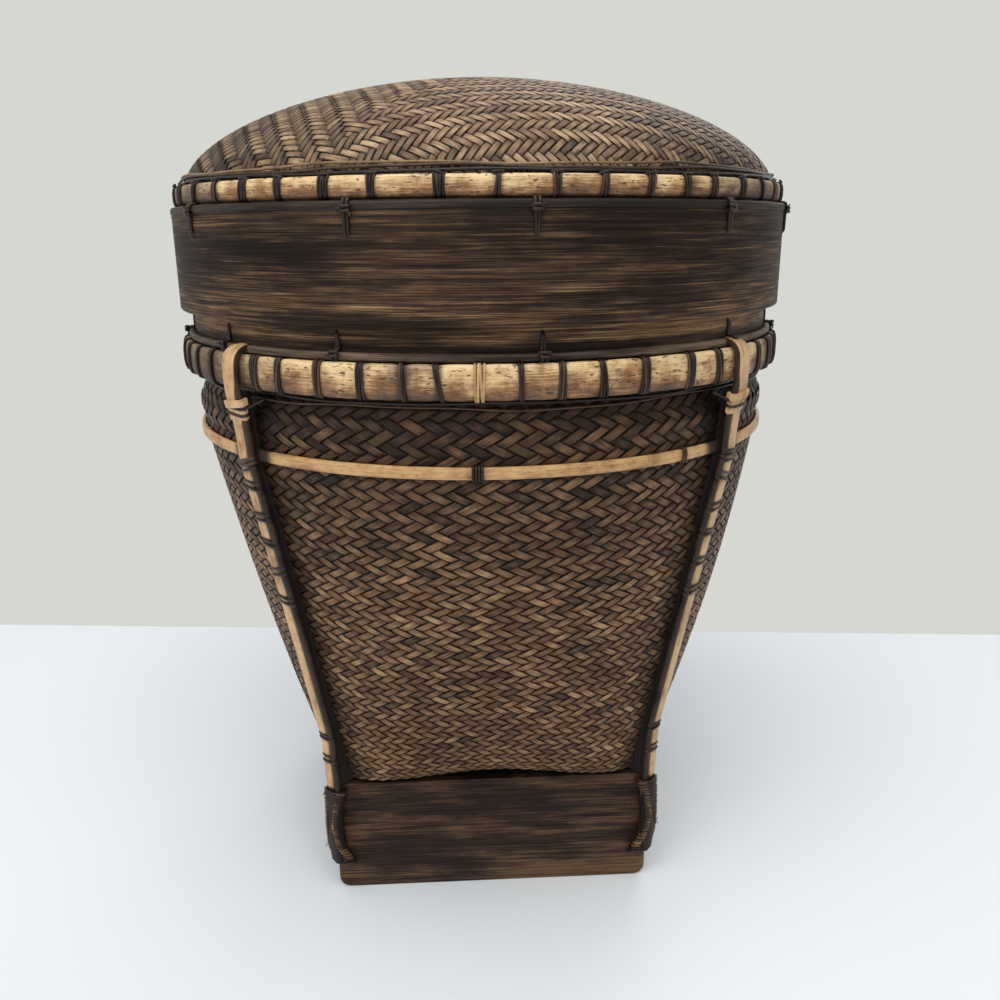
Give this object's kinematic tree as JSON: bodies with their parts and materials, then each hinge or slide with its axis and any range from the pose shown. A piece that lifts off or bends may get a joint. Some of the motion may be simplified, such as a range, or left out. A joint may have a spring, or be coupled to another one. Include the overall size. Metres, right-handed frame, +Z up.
{
  "type": "lidded rice basket",
  "caption": "Lidded rice basket: twill woven bamboo body on a square board foot, cane ribs at the corners, lashed rim hoops, and a domed lid that lifts off its collar.",
  "frame": {"origin": "middle of the square foot's footprint, on the ground", "axes": "+Z up along the basket's round axis, +X to the right and -Y to the front; the foot's boards face X and Y"},
  "size_m": [0.2008, 0.2026, 0.2701],
  "materials": {
    "dark_weave": "woven bamboo, matt, darkened",
    "dome_weave": "woven bamboo, matt, greyed golden",
    "gold_cane": "split cane, satin, with dark specks",
    "pale_cane": "split cane, satin",
    "brown_cane": "split cane, satin, dark",
    "black_cane": "blackened cane strand, satin",
    "dark_bamboo": "bamboo board, satin, smoked"
  },
  "bodies": {
    "basket": {"basket_body": "dark_weave", "rim_hoop": "gold_cane", "rim_inner_hoop": "dark_bamboo", "rim_lashing": "black_cane", "rim_guard_cane": "black_cane", "collar_band": "dark_bamboo", "collar_edge_strip": "dark_bamboo", "waist_hoop": "pale_cane", "rib_front_right_left": "pale_cane", "rib_front_right_right": "brown_cane", "rib_back_right_left": "brown_cane", "rib_back_right_right": "pale_cane", "rib_back_left_left": "pale_cane", "rib_back_left_right": "brown_cane", "rib_front_left_left": "brown_cane", "rib_front_left_right": "pale_cane", "rib_lashing_front_right": "black_cane", "rib_lashing_back_right": "black_cane", "rib_lashing_back_left": "black_cane", "rib_lashing_front_left": "black_cane", "rib_head_wrap_front_right": "pale_cane", "rib_head_wrap_back_right": "pale_cane", "rib_head_wrap_back_left": "pale_cane", "rib_head_wrap_front_left": "pale_cane", "foot_board_front": "dark_bamboo", "foot_board_right": "dark_bamboo", "foot_board_back": "dark_bamboo", "foot_board_left": "dark_bamboo", "foot_lacing_front_right": "black_cane", "foot_lacing_back_right": "black_cane", "foot_lacing_back_left": "black_cane", "foot_lacing_front_left": "black_cane", "waist_tie_front": "black_cane", "waist_tie_right": "black_cane", "waist_tie_back": "black_cane", "waist_tie_left": "black_cane", "collar_tie_1": "black_cane", "collar_tie_2": "black_cane", "collar_tie_3": "black_cane", "collar_tie_4": "black_cane", "collar_tie_5": "black_cane", "collar_tie_6": "black_cane"},
    "lid": {"lid_dome": "dome_weave", "lid_hoop": "gold_cane", "lid_inner_hoop": "dark_bamboo", "lid_lashing": "black_cane", "lid_guard_cane": "black_cane", "lid_band": "dark_bamboo", "lid_edge_strip": "dark_bamboo", "lid_tie_1": "black_cane", "lid_tie_2": "black_cane", "lid_tie_3": "black_cane", "lid_tie_4": "black_cane", "lid_tie_5": "black_cane", "lid_tie_6": "black_cane"}
  },
  "joints": [
    {"name": "lid_lift", "type": "slide", "parent": "basket", "child": "lid", "axis": [0, 0, 1], "range_m": [0, 0.08]}
  ]
}
